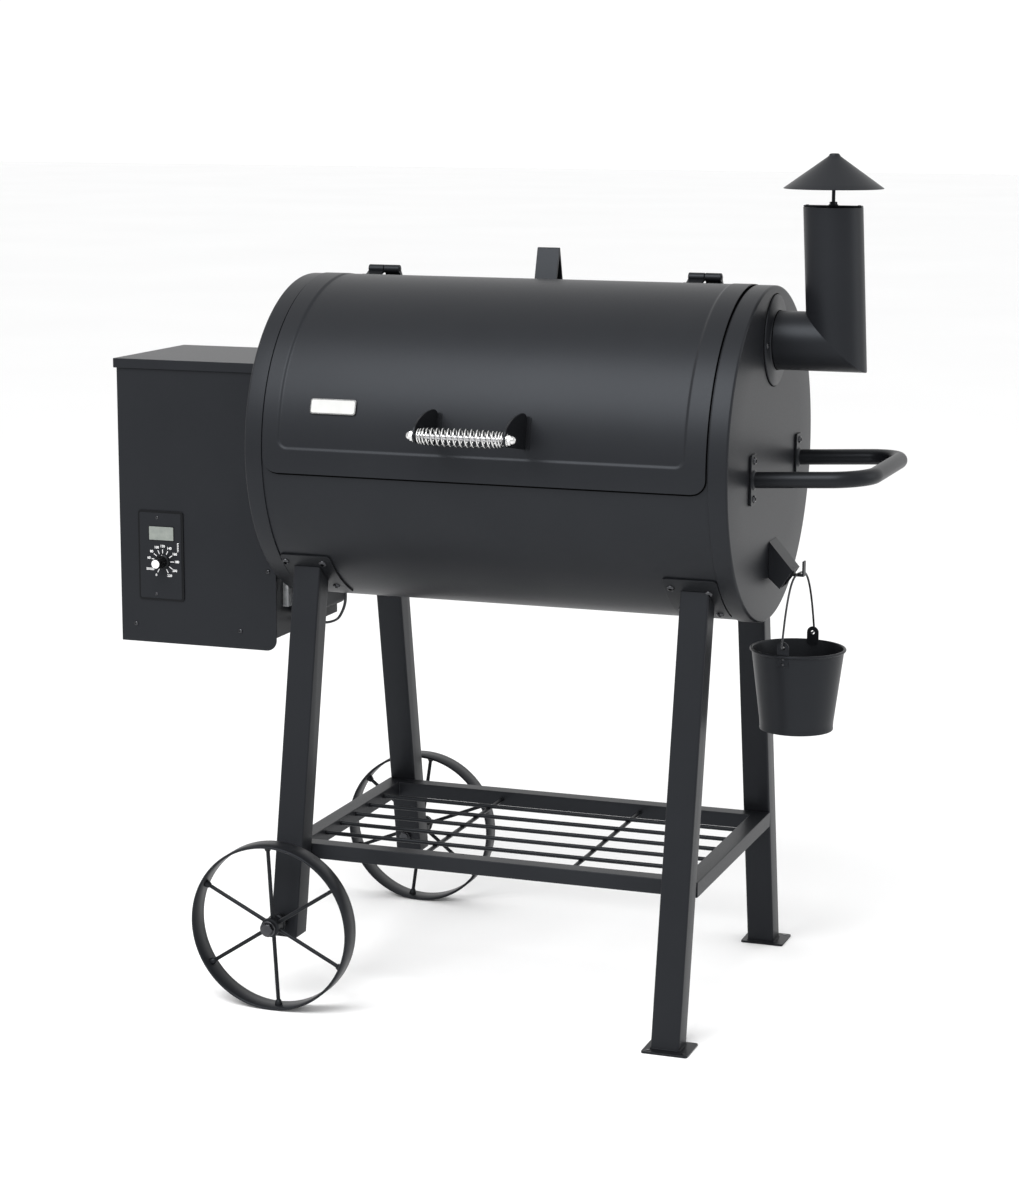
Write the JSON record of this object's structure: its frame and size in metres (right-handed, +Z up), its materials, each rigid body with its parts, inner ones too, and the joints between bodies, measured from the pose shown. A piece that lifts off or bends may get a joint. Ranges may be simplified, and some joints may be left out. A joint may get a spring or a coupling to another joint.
{
  "type": "pellet smoker grill",
  "caption": "Wood-pellet smoker grill: lying barrel with a hinged lid, side pellet hopper with a controller, chimney, grease bucket and a leaning leg stand with a rod shelf and wheels.",
  "frame": {"origin": "centre of the bounding box in plan, at the floor under the feet and wheels", "axes": "+X towards the chimney and side handle (the hopper is at -X), -Y is the front with the lid's grip, +Z up"},
  "size_m": [1.1106, 0.6204, 1.178],
  "materials": {
    "charcoal_powder_coat": "satin charcoal powder coat",
    "chrome": "bright chrome plate",
    "galvanised_steel": "dull galvanised sheet",
    "cast_iron": "matte black porcelain-coated iron",
    "badge_silver": "satin silver",
    "black_plastic": "fine matte black",
    "display_window": "gloss grey-green display window",
    "cable_sheath": "soft matte black"
  },
  "bodies": {
    "grill_body": {"barrel_shell": "charcoal_powder_coat", "end_cap_left": "charcoal_powder_coat", "end_cap_right": "charcoal_powder_coat", "hinge_body_leaf_left": "charcoal_powder_coat", "hinge_body_leaf_right": "charcoal_powder_coat", "lid_stop": "charcoal_powder_coat", "chimney_pipe": "charcoal_powder_coat", "chimney_cap_stem": "charcoal_powder_coat", "side_handle": "charcoal_powder_coat", "grease_chute": "charcoal_powder_coat", "leg_front_left": "charcoal_powder_coat", "leg_front_right": "charcoal_powder_coat", "leg_rear_left": "charcoal_powder_coat", "leg_rear_right": "charcoal_powder_coat", "leg_bracket_front_left": "charcoal_powder_coat", "leg_bracket_front_right": "charcoal_powder_coat", "leg_bracket_rear_left": "charcoal_powder_coat", "leg_bracket_rear_right": "charcoal_powder_coat", "shelf_frame": "charcoal_powder_coat", "shelf_grid": "charcoal_powder_coat", "axle_front": "charcoal_powder_coat", "axle_rear": "charcoal_powder_coat", "hopper_body": "charcoal_powder_coat", "hopper_front_panel": "charcoal_powder_coat", "hopper_lid_hinge": "charcoal_powder_coat", "temperature_probe": "chrome", "hopper_funnel": "galvanised_steel", "hopper_guard": "galvanised_steel", "auger_tube": "galvanised_steel", "fan_housing": "galvanised_steel", "fire_pot": "galvanised_steel", "igniter_rod": "galvanised_steel", "heat_baffle": "galvanised_steel", "drip_tray": "galvanised_steel", "air_duct": "galvanised_steel", "hopper_mount_plate": "galvanised_steel", "grate_left": "cast_iron", "grate_right": "cast_iron", "controller_plate": "black_plastic", "power_inlet": "black_plastic", "auger_motor": "black_plastic", "controller_display": "display_window", "igniter_lead": "cable_sheath"},
    "lid_body": {"lid": "charcoal_powder_coat", "badge_plate": "badge_silver", "lid_handle_bracket_left": "charcoal_powder_coat", "lid_handle_bracket_right": "charcoal_powder_coat", "lid_handle_rod": "chrome", "lid_handle_spring": "chrome", "hinge_lid_leaf_left": "charcoal_powder_coat", "hinge_lid_leaf_right": "charcoal_powder_coat"},
    "hopper_lid_body": {"hopper_lid": "charcoal_powder_coat"},
    "wheel_front_body": {"wheel_front": "charcoal_powder_coat"},
    "wheel_rear_body": {"wheel_rear": "charcoal_powder_coat"},
    "knob_body": {"controller_knob": "black_plastic"},
    "bail_body": {"bucket_bail": "charcoal_powder_coat"},
    "bucket_body": {"grease_bucket": "charcoal_powder_coat"},
    "chimney_cap_body": {"chimney_cap": "charcoal_powder_coat"},
    "auger_body": {"auger_screw": "galvanised_steel"},
    "fan_body": {"fan_wheel": "black_plastic"}
  },
  "joints": [
    {"name": "lid_hinge", "type": "hinge", "parent": "grill_body", "child": "lid_body", "pos_m": [0.0463, 0.069, 1.0055], "axis": [-1, 0, 0], "range_deg": [0, 123]},
    {"name": "hopper_lid_hinge", "type": "hinge", "parent": "grill_body", "child": "hopper_lid_body", "pos_m": [-0.4262, 0.1217, 0.8705], "axis": [-1, 0, 0], "range_deg": [0, 95]},
    {"name": "wheel_front_spin", "type": "hinge", "parent": "grill_body", "child": "wheel_front_body", "pos_m": [-0.2372, -0.2765, 0.1175], "axis": [0, 1, 0], "continuous": true},
    {"name": "wheel_rear_spin", "type": "hinge", "parent": "grill_body", "child": "wheel_rear_body", "pos_m": [-0.2372, 0.2865, 0.1175], "axis": [0, 1, 0], "continuous": true},
    {"name": "knob_turn", "type": "hinge", "parent": "grill_body", "child": "knob_body", "pos_m": [-0.4827, -0.107, 0.588], "axis": [0, -1, 0], "range_deg": [-135, 135]},
    {"name": "bail_swing", "type": "hinge", "parent": "grill_body", "child": "bail_body", "pos_m": [0.4278, 0.02, 0.6073], "axis": [0.0941, 0.9956, 0], "range_deg": [-12, 12]},
    {"name": "bucket_swing", "type": "hinge", "parent": "bail_body", "child": "bucket_body", "pos_m": [0.4278, 0.02, 0.513], "axis": [0.0941, 0.9956, 0], "range_deg": [-15, 15]},
    {"name": "chimney_cap_height", "type": "slide", "parent": "grill_body", "child": "chimney_cap_body", "axis": [0, 0, 1], "range_m": [-0.012, 0.003]},
    {"name": "auger_turn", "type": "hinge", "parent": "grill_body", "child": "auger_body", "pos_m": [-0.2537, 0.005, 0.598], "axis": [1, 0, 0], "continuous": true},
    {"name": "fan_spin", "type": "hinge", "parent": "grill_body", "child": "fan_body", "pos_m": [-0.3537, 0.005, 0.5285], "axis": [0, 1, 0], "continuous": true}
  ]
}
